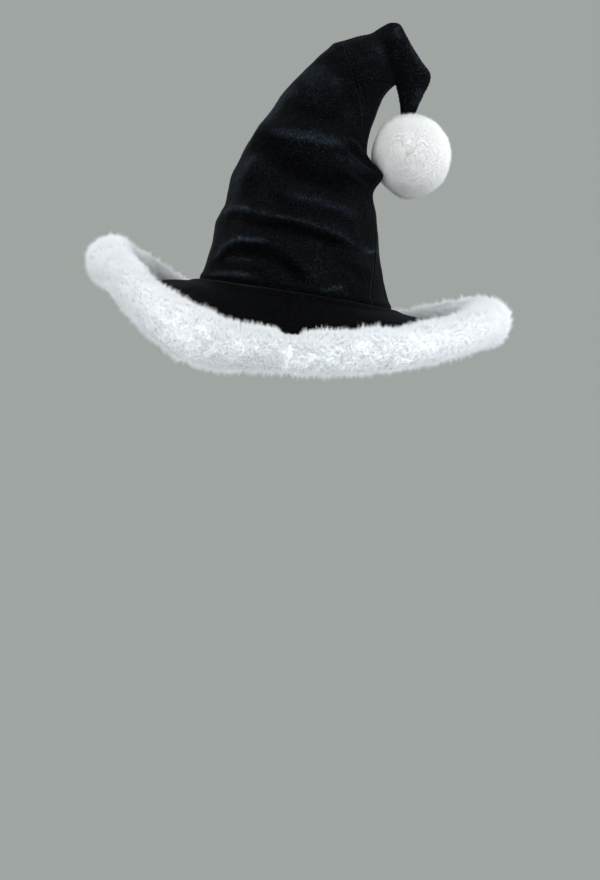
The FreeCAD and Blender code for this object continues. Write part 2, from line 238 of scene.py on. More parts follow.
def felt_build():
    """Non-woven felt: matted fibres."""
    place = coordinates()
    fibres = noise(place, 700.0, 4.0, 0.7)
    return {
        "Base Color": mix_colour(fibres, rgb(0.40, 0.39, 0.36), rgb(0.66, 0.64, 0.60)),
        "Roughness": 0.8 + 0.15 * fibres,
        "Normal": bump(fibres, 0.5, 0.0004),
    }


def knit_build():
    """Knitted backing: crossed fine waves."""
    place = coordinates()
    rows = Shade.node("ShaderNodeTexWave", {"bands_direction": "X"}, {"Vector": place, "Scale": 320.0})
    columns = Shade.node("ShaderNodeTexWave", {"bands_direction": "Z"}, {"Vector": place, "Scale": 320.0})
    loops = rows * columns
    return {
        "Base Color": mix_colour(loops, rgb(0.58, 0.58, 0.56), rgb(0.82, 0.82, 0.80)),
        "Roughness": 0.8 + 0.1 * loops,
        "Normal": bump(loops, 0.6, 0.0005),
    }


def fur_build(root, tip, shadow):
    """White pile: a little darker at the root, as painted shade deep in the pile, with random patches of
    painted shade and slight tone from tuft to tuft.
    """

    def build():
        along = attribute("along")
        tuft = attribute("tone")
        place = coordinates()
        cloud = noise(place, 45.0, 2.0)
        # Painted shade towards the roots, then painted shade in random cloudy patches.
        color = mix_colour(along.between(0.0, 0.6), root, tip)
        color = mix_colour(cloud.between(0.35, 0.75) * 0.25, color, shadow)
        color = mix_colour(tuft * 0.25, color, tip)
        return {"Base Color": color, "Roughness": 0.55 + 0.2 * tuft}

    return build


def thread_build(dark, light):
    """Thread: a fine uneven twist between two colours."""

    def build():
        twist = noise(coordinates(), 1500.0, 1.0)
        return {
            "Base Color": mix_colour(twist, dark, light),
            "Roughness": 0.5 + 0.2 * twist,
            "Normal": bump(twist, 0.5, 0.0002),
        }

    return build


def steel_build():
    """Drawn wire: bare metal with a slightly uneven polish."""
    drawn = noise(coordinates(), 300.0, 3.0)
    return {"Base Color": rgb(0.55, 0.56, 0.58), "Roughness": 0.28 + 0.15 * drawn}


def make_materials():
    """Every finish on the hat, by name."""
    velvet_sheen = {
        "Sheen Weight": 0.035,
        "Sheen Roughness": 0.3,
        "Sheen Tint": rgb(0.42, 0.58, 0.78),
        "Specular IOR Level": 0.02,
    }
    soft = {"Specular IOR Level": 0.2}
    fluff = {"Specular IOR Level": 0.15, "Sheen Weight": 0.25, "Sheen Roughness": 0.5}
    white, cool = rgb(0.890, 0.904, 0.916), rgb(0.884, 0.899, 0.912)
    warm, warm_shade = rgb(0.982, 0.980, 0.974), rgb(0.968, 0.964, 0.954)
    # Each pile's root colour is a little darker than its tip colour, as painted shade deep in the pile; the
    # third colour is painted shade for random patches.
    trim_pile = fur_build(cool, white, rgb(0.86, 0.88, 0.90))
    pompom_pile = fur_build(warm_shade, warm, rgb(0.93, 0.925, 0.91))
    black_twist = thread_build(rgb(0.003, 0.0035, 0.0045), rgb(0.010, 0.012, 0.015))
    white_twist = thread_build(rgb(0.6, 0.6, 0.58), rgb(0.85, 0.85, 0.83))
    finishes = {
        "velvet": (velvet_build, velvet_sheen),
        "lining": (satin_build, soft),
        "ribbon": (ribbon_build, soft),
        "felt": (felt_build, soft),
        "knit": (knit_build, soft),
        "fur": (trim_pile, fluff),
        "pompom_fur": (pompom_pile, fluff),
        "dark_thread": (black_twist, soft),
        "white_thread": (white_twist, soft),
        "steel": (steel_build, {"Metallic": 1.0}),
    }
    return {name: finish_material(name, build, constants) for name, (build, constants) in finishes.items()}


# ---------------------------------------------------------------- mesh tools
def make_piece(name, points, faces, material, attributes=()):
    """A mesh object at the origin from points in millimetres and an array of faces of one size."""
    points = np.asarray(points, float).reshape(-1, 3)
    faces = np.asarray(faces, np.int32)
    mesh = bpy.data.meshes.new(name)
    mesh.vertices.add(len(points))
    mesh.vertices.foreach_set("co", (points * MM).astype(np.float32).ravel())
    mesh.loops.add(faces.size)
    mesh.loops.foreach_set("vertex_index", faces.ravel())
    mesh.polygons.add(len(faces))
    mesh.polygons.foreach_set("loop_start", np.arange(len(faces), dtype=np.int32) * faces.shape[1])
    mesh.update(calc_edges=True)
    mesh.validate()
    mesh.polygons.foreach_set("use_smooth", np.full(len(mesh.polygons), True))
    for key, values in dict(attributes).items():
        layer = mesh.attributes.new(key, "FLOAT", "POINT")
        layer.data.foreach_set("value", np.asarray(values, np.float32).ravel())
    mesh.materials.append(material)
    piece = bpy.data.objects.new(name, mesh)
    bpy.context.scene.collection.objects.link(piece)
    return piece


def grid_faces(rows, columns, wrap_columns=False, wrap_rows=False):
    """Quads between the neighbours of a grid of points, with either direction closed on itself."""
    r = np.arange(rows if wrap_rows else rows - 1)
    c = np.arange(columns if wrap_columns else columns - 1)
    r, c = np.meshgrid(r, c, indexing="ij")
    r, c = r.ravel(), c.ravel()
    here, below, right = r * columns, (r + 1) % rows * columns, (c + 1) % columns
    return np.stack([here + c, here + right, below + right, below + c], axis=1)


def thicken(piece, wall):
    """Gives a sheet its wall, inwards from its face, applied to the mesh."""
    modifier = piece.modifiers.new("wall", "SOLIDIFY")
    modifier.thickness = wall * MM
    modifier.offset = -1
    depsgraph = bpy.context.evaluated_depsgraph_get()
    baked = bpy.data.meshes.new_from_object(piece.evaluated_get(depsgraph))
    piece.modifiers.clear()
    old = piece.data
    piece.data = baked
    bpy.data.meshes.remove(old)
    baked.name = piece.name


def place_piece(piece, body, slot, *nodes):
    """Puts a piece on a body and hides the CAD nodes it stands for; its slot argument is not used."""
    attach(piece, body)
    if nodes:
        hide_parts(*nodes)


def smooth_noise(points, cell, seed):
    """Value noise in -1..1: random numbers on a cubic lattice, eased between its corners."""
    table = np.random.default_rng(seed).uniform(-1, 1, 4096)
    q = np.asarray(points, float) / cell
    base = np.floor(q).astype(np.int64)
    f = q - base
    f = f * f * (3 - 2 * f)
    total = np.zeros(q.shape[:-1])
    for corner in np.ndindex(2, 2, 2):
        at = base + corner
        key = at[..., 0] * 73856093 ^ at[..., 1] * 19349663 ^ at[..., 2] * 83492791
        share = np.prod(np.where(np.array(corner) == 1, f, 1 - f), axis=-1)
        total += table[key % 4096] * share
    return total


def vector_noise(points, cell, seed):
    """Three value noises, as the parts of a vector."""
    return np.stack([smooth_noise(points, cell, seed + k) for k in range(3)], axis=-1)


def ease(low, high, values):
    """0 below low, 1 above high, eased between."""
    t = np.clip((np.asarray(values, float) - low) / (high - low), 0, 1)
    return t * t * (3 - 2 * t)


def unit_rows(vectors):
    """The vectors, scaled to a length of 1."""
    return vectors / np.maximum(np.linalg.norm(vectors, axis=-1, keepdims=True), 1e-9)


def curve_through(knots, rows, places):
    """Each column of rows, as a cubic through the knots with slopes from the neighbours, read at places."""
    knots, rows = np.asarray(knots, float), np.asarray(rows, float)
    slopes = np.gradient(rows, knots, axis=0)
    k = np.clip(np.searchsorted(knots, places, side="right") - 1, 0, len(knots) - 2)
    span = knots[k + 1] - knots[k]
    t = ((places - knots[k]) / span)[:, None]
    span = span[:, None]
    a, b = rows[k], rows[k + 1]
    ma, mb = slopes[k] * span, slopes[k + 1] * span
    return (
        (2 * t**3 - 3 * t**2 + 1) * a
        + (t**3 - 2 * t**2 + t) * ma
        + (3 * t**2 - 2 * t**3) * b
        + (t**3 - t**2) * mb
    )


def grid_normals(points):
    """Normals of a grid that closes round, from the cross product of its two directions."""
    across = np.roll(points, -1, axis=1) - np.roll(points, 1, axis=1)
    return unit_rows(np.cross(across, np.gradient(points, axis=0)))


# ---------------------------------------------------------------- the crown's shape
# From the foot to the end of the tip: the outer edge's x and z, the inner edge's x and z, half the depth,
# and how far round from the inner edge the first side seam lies, in degrees.
CROWN_ROWS = [
    (-99.5, -1.2, 96.5, -1.2, 97.0, 39),
    (-96.6, 9, 91.2, 9, 94.0, 37),
    (-94.0, 21, 86.0, 21, 90.5, 33),
    (-91.9, 37, 79.8, 37, 86.3, 27),
    (-92.2, 50, 75.6, 50, 83.0, 23),
    (-92.2, 60, 73.6, 60, 81.0, 21),
    (-88.6, 70, 71.4, 70, 78.8, 19),
    (-85.4, 79, 69.2, 79, 77.0, 18),
    (-84.6, 91, 65.6, 90, 74.6, 17),
    (-83.4, 108, 58.6, 107, 71.0, 17),
    (-80.3, 122, 54.2, 121, 67.6, 17.5),
    (-76.4, 137, 49.8, 135, 63.5, 19),
    (-69.7, 152, 46.4, 148, 59.0, 23),
    (-59.0, 174, 45.0, 162, 53.5, 28),
    (-46.6, 200, 46.2, 178, 47.0, 37),
    (-37.5, 213, 48.6, 190, 43.5, 50),
    (-27.5, 227, 50.8, 203, 40.0, 70),
    (-17.5, 241.5, 52.6, 211, 36.6, 88),
    (-10.4, 251, 55.0, 216.4, 33.4, 110),
    (-6.2, 256.3, 56.6, 218.8, 32.0, 124),
    (-1.5, 258.6, 58.0, 220.8, 30.6, 138),
    (6.0, 261.8, 59.4, 222.6, 28.4, 152),
    (17.0, 267.0, 60.6, 224.6, 25.0, 163),
    (30.4, 273.6, 61.3, 225.6, 21.5, 170),
    (39.6, 281.4, 61.9, 226.0, 18.0, 172),
    (47.5, 286.2, 62.3, 226.2, 16.0, 172),
    (54.6, 286.8, 62.7, 225.9, 15.3, 172),
    (63.5, 276.8, 63.2, 225.2, 16.0, 172),
    (73.9, 264.0, 63.8, 223.8, 17.0, 172),
    (84.5, 252.3, 64.5, 221.8, 16.6, 172),
    (95.0, 240.8, 65.6, 218.6, 15.0, 172),
    (95.2, 234.2, 66.6, 215.6, 13.6, 172),
    (91.7, 221.6, 68.2, 211.0, 11.4, 172),
    (88.3, 208.0, 70.2, 204.6, 9.0, 172),
    (86.2, 198.6, 71.6, 198.0, 7.2, 172),
]
CROWN_STEPS = 340
HALF_TURN = 110
# Where the cloth has slumped over the inner side: its height, its angle and spread in degrees, and how far.
SLUMP_HEIGHT = 131.0
SLUMP_ANGLE, SLUMP_SPREAD = -15.0, 21.0
SLUMP_OUT, SLUMP_FORWARD = 14.5, 3.0
SEAM_SINK, SEAM_RIM = 0.45, 0.25

# Folds, each as the line of its ridge seen from the front, in (x, z), then its height, and its width
# above and below the ridge.
LOW_RIDGE = [(-92, 18), (-77, 29), (-69, 36.5), (-61, 41), (-46, 41), (-34, 41)]
LOW_RIDGE += [(-21, 37), (-9, 30), (7, 19), (24, 4)]
FRONT_FOLDS = [
    ([(-96, 60), (-85, 69), (-68, 71), (-50, 69), (-30, 66.5), (0, 65), (30, 58.5), (60, 49)], 5.2, 15, 5),
    (LOW_RIDGE, 5.5, 12, 5.5),
    ([(-80, 146), (-60, 151), (-33, 150.5), (1, 146), (22, 152)], 6.0, 22, 8),
    ([(-50, 100), (-26, 91), (8, 88), (50, 84)], 3.6, 10, 6),
    ([(18, 146), (33, 136), (48, 124)], 4.2, 4.5, 3),
    ([(20, 159), (38, 148), (52, 133)], 4.4, 4.5, 3),
    ([(12, 129), (30, 121), (50, 116)], 3.4, 4.5, 3.5),
    ([(52, 146), (60, 138), (64, 128)], 2.2, 3, 2.5),
    ([(-88, 98), (-70, 104), (-45, 122), (-20, 133), (8, 128)], 2.6, 12, 9),
    ([(-30, 190), (-5, 193), (20, 184)], 2.4, 12, 9),
    ([(-40, 205), (-20, 214), (-2, 209)], 1.8, 9, 8),
    ([(14, 62), (35, 46), (55, 36), (76, 30)], 2.4, 8, 6),
    ([(-70, 18), (-45, 17), (-20, 10)], 1.6, 7, 6),
    ([(-20, 246), (5, 240), (30, 228), (48, 216)], 2.2, 9, 8),
    ([(10, 262), (28, 252), (44, 238)], 1.6, 7, 6),
]
FRONT_VALLEYS = [
    ([(-66, 146), (-44, 129), (-12, 112), (30, 114)], -5.0, 10, 10),
    ([(50, 286), (51, 264), (53, 243), (60, 228)], -2.6, 3.5, 2.5),
    ([(47, 154), (51, 141), (57, 131)], -4.5, 3, 3),
    ([(-8, 252), (8, 225), (24, 200), (36, 176)], 1.4, 2.6, 2.6),
]
BACK_FOLDS = [
    ([(-92, 50), (-60, 62), (-20, 58), (20, 70), (66, 78)], 3.2, 15, 8),
    ([(-88, 84), (-50, 98), (-10, 92), (30, 100), (58, 104)], 2.4, 13, 8),
    ([(-60, 20), (-20, 30), (20, 22), (60, 34)], 2.6, 12, 8),
    ([(-74, 140), (-40, 130), (-5, 138), (36, 126)], 4.0, 17, 9),
    ([(-52, 180), (-20, 168), (20, 172), (40, 160)], 2.6, 13, 9),
    ([(-28, 222), (0, 206), (30, 208), (48, 196)], 2.6, 12, 8),
    ([(5, 258), (24, 240), (44, 234)], 2.0, 8, 7),
]

# Painted highlights where light catches the velvet's ridges and edges, and painted shade in its hollows and
# under its folds: a line, a strength, a width above and below.
FRONT_PAINTED_HIGHLIGHTS = [
    ([(-88, 68), (-76, 71.5), (-66, 71.5), (-52, 70)], 1.1, 3.2, 2.6),
    ([(-66, 71), (-35, 67.5), (0, 66), (30, 59.5), (62, 50)], 0.42, 3, 2.2),
    ([(-93, 17), (-77, 29.5), (-69, 37), (-61, 41.5), (-48, 41.5), (-32, 42)], 1.1, 3, 2.2),
    ([(-76, 21), (-60, 24), (-44, 22)], 0.4, 3, 3),
    ([(-94, 3), (-72, 6), (-58, 7.5), (-42, 7)], 0.9, 3, 2.2),
    ([(-81, 80), (-76, 103), (-68, 119), (-60, 134)], 0.8, 7, 5),
    ([(-62, 158), (-55, 176), (-45, 194), (-34, 207)], 1.0, 8, 8),
    ([(-32, 210), (-14, 229)], 0.3, 8, 8),
    ([(-54, 150), (-20, 149), (6, 148.5), (24, 155)], 0.8, 6, 4),
    ([(-30, 206), (-8, 214), (14, 210)], 0.3, 9, 9),
    ([(-30, 91), (8, 88), (50, 83)], 0.35, 6, 4),
    ([(12, 140), (28, 136), (44, 126)], 0.3, 4, 4),
    ([(20, 2), (32, 7), (45, 13)], 0.7, 2.4, 2.2),
    ([(56, 53), (63, 52.5), (70, 56), (78, 61)], 1.3, 2.2, 2.2),
    ([(58, 268), (56, 276), (54, 284)], 0.6, 5, 4),
    ([(66, 268), (84, 250), (92, 240)], 0.55, 5, 4),
    ([(88, 226), (86, 214), (84, 206)], 0.4, 4, 4),
    ([(28, 262), (44, 252), (58, 238)], 0.25, 8, 8),
    ([(52, 140), (58, 130), (54, 122)], 0.3, 3, 3),
]
FRONT_PAINTED_SHADE = [
    ([(-66, 139), (-40, 125), (-10, 116), (25, 110), (48, 108)], 1.0, 15, 11),
    ([(-74, 61), (-50, 60), (-14, 60), (15, 57), (46, 49)], 0.95, 4, 5),
    ([(-70, 31), (-45, 33), (-25, 29), (-8, 20), (12, 5)], 0.95, 4.5, 6),
    ([(46, 268), (52, 250), (60, 232)], 0.9, 6, 5),
    ([(40, 196), (20, 225), (10, 246)], 0.5, 10, 6),
    ([(48, 150), (52, 138), (56, 126), (56, 96)], 1.0, 4, 4),
    ([(-52, 190), (-20, 178), (20, 172)], 0.6, 9, 8),
    ([(62, 90), (66, 66)], 0.8, 5, 5),
]
BACK_PAINTED_HIGHLIGHTS = [
    ([(-86, 60), (-40, 66), (0, 62), (50, 74)], 0.6, 5, 5),
    ([(-80, 92), (-30, 102), (20, 98)], 0.5, 6, 5),
    ([(-70, 26), (-20, 32), (40, 26)], 0.5, 5, 5),
    ([(-66, 142), (-10, 140), (34, 130)], 0.7, 7, 6),
    ([(-44, 182), (0, 172), (36, 164)], 0.6, 8, 6),
    ([(-20, 224), (20, 212), (46, 200)], 0.5, 7, 7),
    ([(60, 272), (84, 248)], 0.5, 5, 5),
]


def fold_height(x, z, folds, hollow=True):
    """The sum of every fold's height at these points, by their signed distance from each ridge line.

    A ridge falls off as a bell, wide above and narrow below, with a shallow hollow under it, and fades out
    towards both ends.
    """
    total = np.zeros_like(x)
    for line, height, above, below in folds:
        line = np.asarray(line, float)
        starts, runs = line[:-1], np.diff(line, axis=0)
        lengths = np.linalg.norm(runs, axis=1)
        before = np.concatenate([[0], np.cumsum(lengths)])
        nearest = np.full_like(x, 1e9)
        side, share = np.zeros_like(x), np.zeros_like(x)
        for start, run, length, done in zip(starts, runs, lengths, before):
            dx, dz = x - start[0], z - start[1]
            t = np.clip((dx * run[0] + dz * run[1]) / length**2, 0, 1)
            distance = np.hypot(dx - t * run[0], dz - t * run[1])
            closer = distance < nearest
            nearest = np.where(closer, distance, nearest)
            side = np.where(closer, run[0] * dz - run[1] * dx, side)
            share = np.where(closer, (done + t * length) / before[-1], share)
        signed = np.where(side >= 0, nearest, -nearest)
        width = np.where(signed >= 0, above, below)
        shape = np.exp(-((signed / width) ** 2))
        if hollow:
            shape = shape - 0.45 * np.exp(-(((signed + 1.9 * below) / (1.1 * below)) ** 2))
        fade = ease(0, 0.22, share) * ease(0, 0.22, 1 - share)
        total += height * shape * (0.15 + 0.85 * fade) * ease(-0.001, 0.02, share * (1 - share) + 0.01)
    return total


def crown_surface():
    """The velvet's outer face as rows of points round the crown, with its normals.

    Each row is an ellipse between the outer and inner edge, turned to start at the side seam. Folds push it
    out along its normal, and the crumple pushes it sideways where the cloth has slumped.
    """
    rows = np.array(CROWN_ROWS)
    outer_step = np.linalg.norm(np.diff(rows[:, 0:2], axis=0), axis=1)
    inner_step = np.linalg.norm(np.diff(rows[:, 2:4], axis=0), axis=1)
    knots = np.concatenate([[0], np.cumsum(outer_step + inner_step)])
    share = np.linspace(0, 1, CROWN_STEPS)
    edges = curve_through(knots / knots[-1], rows, share)
    outer, inner, depth = edges[:, 0:2], edges[:, 2:4], edges[:, 4]
    centre = (outer + inner) / 2
    across = (inner - outer) / 2
    seam = -np.radians(edges[:, 5])
    turn = np.arange(2 * HALF_TURN) / HALF_TURN * math.pi
    angle = seam[:, None] - turn[None, :]
    points = np.empty((CROWN_STEPS, 2 * HALF_TURN, 3))
    points[..., 0] = centre[:, None, 0] + across[:, None, 0] * np.cos(angle)
    points[..., 2] = centre[:, None, 1] + across[:, None, 1] * np.cos(angle)
    points[..., 1] = depth[:, None] * np.sin(angle)
    normals = grid_normals(points)
    if np.mean(normals[:, :, 1] * np.sin(angle)) < 0:
        normals = -normals
    x, z = points[..., 0], points[..., 2]
    facing = normals[..., 1]
    front = 1 - ease(-0.75, 0.0, facing) * 0.72 - ease(0.0, 0.3, facing) * 0.28
    back = ease(0.0, 0.75, facing)
    lift = fold_height(x, z, FRONT_FOLDS) * front + fold_height(x, z, BACK_FOLDS) * back
    lift += fold_height(x, z, FRONT_VALLEYS) * front
    soft = 1 - ease(0.80, 0.98, share)[:, None] * 0.75
    lift = lift * (1 - 0.65 * ease(0.52, 0.75, share)[:, None])
    lift += (smooth_noise(points, 34, 11) * 1.2 + smooth_noise(points, 14, 12) * 0.6) * soft
    lift += smooth_noise(points, 6, 13) * 0.18
    at_seam = np.minimum(np.abs(turn), np.minimum(np.abs(turn - math.pi), 2 * math.pi - turn))
    girth = np.linalg.norm(across, axis=1)[:, None]
    off_seam = at_seam[None, :] * girth
    lift -= SEAM_SINK * np.exp(-((off_seam / 0.8) ** 2))
    lift += SEAM_RIM * np.exp(-(((off_seam - 3.5) / 1.8) ** 2))
    lift *= ease(0, 9, z) * 0.96 + 0.04
    lift += 1.1 * np.exp(-(((z - 5) / 3.5) ** 2)) * (share < 0.1)[:, None]
    points = points + normals * lift[..., None]
    degrees = np.degrees(np.arctan2(np.sin(angle), np.cos(angle)))
    slump = np.exp(-(((degrees - SLUMP_ANGLE) / SLUMP_SPREAD) ** 2)) * (share < 0.6)[:, None]
    slump = slump * np.exp(-(((z - SLUMP_HEIGHT) / np.where(z > SLUMP_HEIGHT, 9.5, 12)) ** 2))
    points[..., 0] += SLUMP_OUT * slump
    points[..., 1] -= SLUMP_FORWARD * slump
    # Painted highlights and painted shade for the velvet's colour, with painted shade in the crease at the
    # crown's foot.
    painted_light_and_tone = fold_height(x, z, FRONT_PAINTED_HIGHLIGHTS, False) * front + fold_height(x, z, BACK_PAINTED_HIGHLIGHTS, False) * back
    painted_light_and_tone -= fold_height(x, z, FRONT_PAINTED_SHADE, False) * front
    painted_light_and_tone -= 1.2 * np.exp(-(((z - 0.5) / 2.0) ** 2)) * (share < 0.1)[:, None]
    normals = grid_normals(points)
    if np.mean(normals[:, :, 1] * np.sin(angle)) < 0:
        normals = -normals
    return points, normals, share, np.clip(painted_light_and_tone, -1, 1.3)


def crown_panel(name, points, columns, material, wall, painted_light_and_tone=None):
    """Some of the crown's columns as a sheet with a wall, facing outwards."""
    part = points[:, columns % points.shape[1]]
    faces = grid_faces(part.shape[0], part.shape[1])[:, ::-1]
    values = {} if painted_light_and_tone is None else {"painted_light_and_tone": painted_light_and_tone[:, columns % points.shape[1]]}
    piece = make_piece(name, part, faces, material, attributes=values)
    thicken(piece, wall)
    return piece


def flat_area(points, columns):
    """The area of a sheet of the grid, in square metres, from its quads' two diagonals."""
    part = points[:, columns % points.shape[1]] * MM
    first = part[1:, 1:] - part[:-1, :-1]
    second = part[1:, :-1] - part[:-1, 1:]
    return float(np.linalg.norm(np.cross(first, second), axis=-1).sum() / 2)


# The velvet's wall, in millimetres.
VELVET_WALL = 0.9
# The layers inside the velvet: depth below its face, wall, how far up the crown, and finish.
INNER_LAYERS = {"interlining": (1.25, 0.7, 0.56, "felt"), "lining": (2.3, 0.4, 0.5, "lining")}
SEAM_ALLOWANCE = 3.6


def over_fold(piece):
    """Bakes a piece's transform into its mesh."""
    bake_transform(piece)


def stitch_points(path, outward, pitch, length, radius):
    """Closed four-sided stitches, evenly spaced along a path of points, lying on the cloth."""
    steps = np.linalg.norm(np.diff(path, axis=0), axis=1)
    run = np.concatenate([[0], np.cumsum(steps)])
    middles = np.arange(pitch, run[-1] - pitch, pitch)

    def read(values, places):
        return np.stack([np.interp(places, run, values[:, k]) for k in range(3)], axis=1)

    up = unit_rows(read(outward, middles))
    ends = [read(path, middles - length / 2), read(path, middles + length / 2)]
    centre = read(path, middles) + up * radius * 1.2
    direction = unit_rows(ends[1] - ends[0])
    side = np.cross(direction, up)
    rings = []
    for place, grow, sink in ((ends[0], 0.35, -0.3), (centre, 1.0, 0.0), (ends[1], 0.35, -0.3)):
        base = place + up * radius * sink
        for a, b in ((1, 0), (0, 1), (-1, 0), (0, -1)):
            rings.append(base + (side * a + up * b) * radius * grow)
    points = np.stack(rings, axis=1)
    quads = []
    for ring in range(2):
        for k in range(4):
            a, b = ring * 4 + k, ring * 4 + (k + 1) % 4
            quads.append((a, b, b + 4, a + 4))
    quads += [(3, 2, 1, 0), (8, 9, 10, 11)]
    faces = np.array(quads)[None] + (np.arange(len(middles)) * 12)[:, None, None]
    return points.reshape(-1, 3), faces.reshape(-1, 4)


def join_parts(parts):
    """Several (points, faces) pairs as one."""
    points, faces, count = [], [], 0
    for p, f in parts:
        points.append(p)
        faces.append(f + count)
        count += len(p)
    return np.concatenate(points), np.concatenate(faces)


def build_panels(finish, points, normals, share, painted_light_and_tone):
    """The front and back panels of the crown and tip: velvet over interlining over lining."""
    halves = {"front": np.arange(0, HALF_TURN + 1), "back": np.arange(HALF_TURN, 2 * HALF_TURN + 1)}
    for half, columns in halves.items():
        piece = crown_panel(f"velvet_{half}", points, columns, finish["velvet"], VELVET_WALL, painted_light_and_tone)
        over_fold(piece)
        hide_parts(f"crown_{half}_velvet", f"tip_{half}_velvet")
        flat_area(points, columns)
    for layer, (depth, wall, stop, material) in INNER_LAYERS.items():
        rows = np.nonzero(share < stop)[0][6::2]
        inner = points[rows] - normals[rows] * depth
        for half, columns in halves.items():
            piece = crown_panel(f"{layer}_{half}", inner, columns[::2], finish[material], wall)
            place_piece(piece, BODY_HAT, layer, f"crown_{half}_{layer}")
            flat_area(inner, columns[::2])


def build_tip_gather(finish, points):
    """The gathered end of the tip: rings that shrink towards its middle, with eleven pleats round them."""
    ring = points[-1]
    middle = ring.mean(axis=0)
    shrink = np.array([1.0, 0.82, 0.5, 0.18, 0.0])[:, None, None]
    drop = np.array([0.0, 1.0, 1.5, 1.2, 0.6])[:, None, None]
    away = unit_rows((points[-1] - points[-4]).mean(axis=0))
    cap = middle + (ring - middle)[None] * shrink + away * drop
    pleats = 1 + 0.08 * np.cos(np.arange(len(ring)) / len(ring) * 2 * math.pi * 11)
    cap = middle + (cap - middle) * pleats[None, :, None]
    faces = grid_faces(len(shrink), len(ring), wrap_columns=True)[:, ::-1]
    closure = make_piece("tip_gather", cap, faces, finish["velvet"])
    place_piece(closure, BODY_TIP, "velvet", "tip_end_closure")


def build_seams(finish, points, normals):
    """Topstitching on both sides of both side seams, SEAM_ALLOWANCE away from the seam."""
    count = points.shape[1]
    rows = np.arange(CROWN_STEPS)
    stitched = np.arange(4, int(CROWN_STEPS * 0.985), 2)
    spacing = np.linalg.norm(np.diff(points, axis=1, append=points[:, :1]), axis=-1)
    parts = []
    for seam in (0, HALF_TURN):
        for way in (-1, 1):
            reach = np.clip(SEAM_ALLOWANCE / np.maximum(spacing[:, seam], 0.1), 0, 6)
            low = np.floor(reach).astype(int)
            nearer = points[rows, (seam + way * low) % count]
            further = points[rows, (seam + way * (low + 1)) % count]
            path = nearer + (further - nearer) * (reach - low)[:, None]
            outward = normals[rows, (seam + way * low) % count]
            parts.append(stitch_points(path[stitched], outward[stitched], 4.2, 3.0, 0.17))
    stitches = make_piece("seam_stitching", *join_parts(parts), finish["dark_thread"])
    over_fold(stitches)
    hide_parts("crown_seam_stitches", "tip_seam_stitches")


def build_crown(finish):
    """The crown and tip, and the grid of the velvet's face and its normals for the ribbon."""
    points, normals, share, painted_light_and_tone = crown_surface()
    build_panels(finish, points, normals, share, painted_light_and_tone)
    build_tip_gather(finish, points)
    build_seams(finish, points, normals)
    return points, normals


# ---------------------------------------------------------------- the brim
# At each of these angles, in degrees: the height of the brim's outer part, and how far it arches up or sags.
BRIM_ANGLES = np.array([0, 38, 54, 90, 125, 152, 180, 218, 228, 248, 270, 296, 320, 342, 360], float)
BRIM_HEIGHTS = np.array([7, 2, -9, -31, -18, 1, 4, -33, -45, -62, -62, -49, -27, -4, 7], float)
BRIM_ARCH = np.array([-4, -3, -1, 0, -1, -4, -6.5, -1, 0.5, 2.5, 3, 2.5, 0, -2.5, -4], float)
BRIM_REACH = 92.0
BRIM_WIDTH = 101.0
BRIM_FOOT_X, BRIM_FOOT_Y = 96.0, 95.5
BRIM_SHIFT = -1.0
BRIM_WALL = 0.9
TOP_START, STIFF_START, UNDER_START = -0.6, 3.0, -3.0
STIFF_STOP = BRIM_WIDTH - 6
WIRE_RADIUS = 0.8


def round_brim(values, angle):
    """A smooth reading at each angle, in degrees, of values given at the angles above."""
    knots = np.concatenate([BRIM_ANGLES[:-1] - 360, BRIM_ANGLES[:-1], BRIM_ANGLES[:-1] + 360])
    rows = np.concatenate([values[:-1]] * 3)[:, None]
    flat = np.mod(np.asarray(angle, float), 360)
    return curve_through(knots, rows, flat.ravel())[:, 0].reshape(flat.shape)


def brim_place(angle, out, up):
    """The point at this angle, so far out along the slope and so far above it.

    It puffs up beside the seam at the crown's foot, and arches or sags between there and the roll.
    """
    a = np.radians(angle)
    slope = np.arcsin(np.clip(round_brim(BRIM_HEIGHTS, angle) / BRIM_REACH, -0.95, 0.95))
    up = up + round_brim(BRIM_ARCH, angle) * np.sin(np.clip(out / BRIM_REACH, 0, 1) * math.pi)
    up = up + 1.8 * np.exp(-(((out - 8) / 5.0) ** 2)) - 1.5 * np.exp(-((out / 2.6) ** 2))
    reach = out * np.cos(slope) - up * np.sin(slope)
    foot_x, foot_y = BRIM_SHIFT + BRIM_FOOT_X * np.cos(a), BRIM_FOOT_Y * np.sin(a)
    x = foot_x + reach * np.cos(a)
    y = foot_y + reach * np.sin(a)
    z = out * np.sin(slope) + up * np.cos(slope)
    return np.stack([x, y, z], axis=-1)


def ring_sheet(name, start, stop, depth, material, wall, steps=42):
    """A ring of cloth that follows the brim between two distances from the crown, at a depth below it.

    It ripples by noise, least at both edges. It carries an attribute of painted shade all over, deepest in
    the crease beside the crown, one painted highlight line in front of the crown, and slight random tone.
    """
    turns = 360
    angle = np.linspace(0, 360, turns, endpoint=False)
    out = np.linspace(start, stop, steps)
    angle, out = np.meshgrid(angle, out, indexing="ij")
    points = brim_place(angle, out, -depth)
    wave = smooth_noise(points + 300, 30, 31) * 1.6 + smooth_noise(points, 11, 32) * 0.4
    points[..., 2] += wave * ease(0, 25, out) * ease(0, 20, BRIM_WIDTH - out)
    # A painted highlight line below the seam at the front left, and painted shade over the whole ring,
    # deepest in the crease by the crown, with slight random tone.
    seam_highlight = np.exp(-(((out - 6.5) / 1.8) ** 2)) * np.exp(-(((angle - 236) / 22) ** 2))
    painted_light_and_tone = -0.85 + seam_highlight * 1.5 - 0.4 * np.exp(-((out / 3.0) ** 2)) + 0.2 * smooth_noise(points, 22, 33)
    piece = make_piece(name, points, grid_faces(turns, steps, wrap_rows=True), material, {"painted_light_and_tone": painted_light_and_tone})
    thicken(piece, wall)
    return piece


